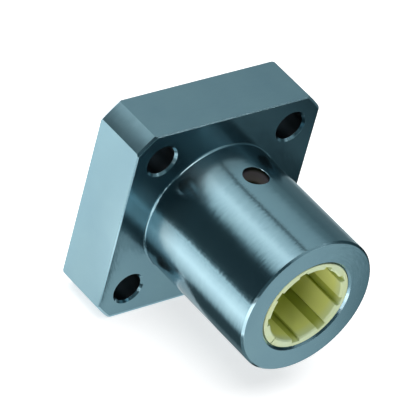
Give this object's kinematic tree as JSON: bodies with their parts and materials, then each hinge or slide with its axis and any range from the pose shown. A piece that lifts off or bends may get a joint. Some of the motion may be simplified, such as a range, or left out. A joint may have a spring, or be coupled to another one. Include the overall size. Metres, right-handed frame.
{
  "type": "flanged linear plain bushing",
  "caption": "Flanged linear plain bushing: an anodised aluminium barrel with a square bolt-on flange holds a split, grooved polymer liner that a round shaft slides through.",
  "frame": {"origin": "on the bore axis, in the plane of the flange face that seats on the machine", "axes": "the barrel points along -Y, the flange lies on +Y, +Z is the side of the barrel with the radial hole, and +X completes the frame across the flange"},
  "size_m": [0.032, 0.032, 0.032],
  "materials": {
    "anodised_housing": "hard anodised, turned and milled, satin",
    "polymer_liner": "moulded, satin"
  },
  "bodies": {
    "root": {"flanged_housing": "anodised_housing", "bearing_liner": "polymer_liner"}
  },
  "joints": []
}
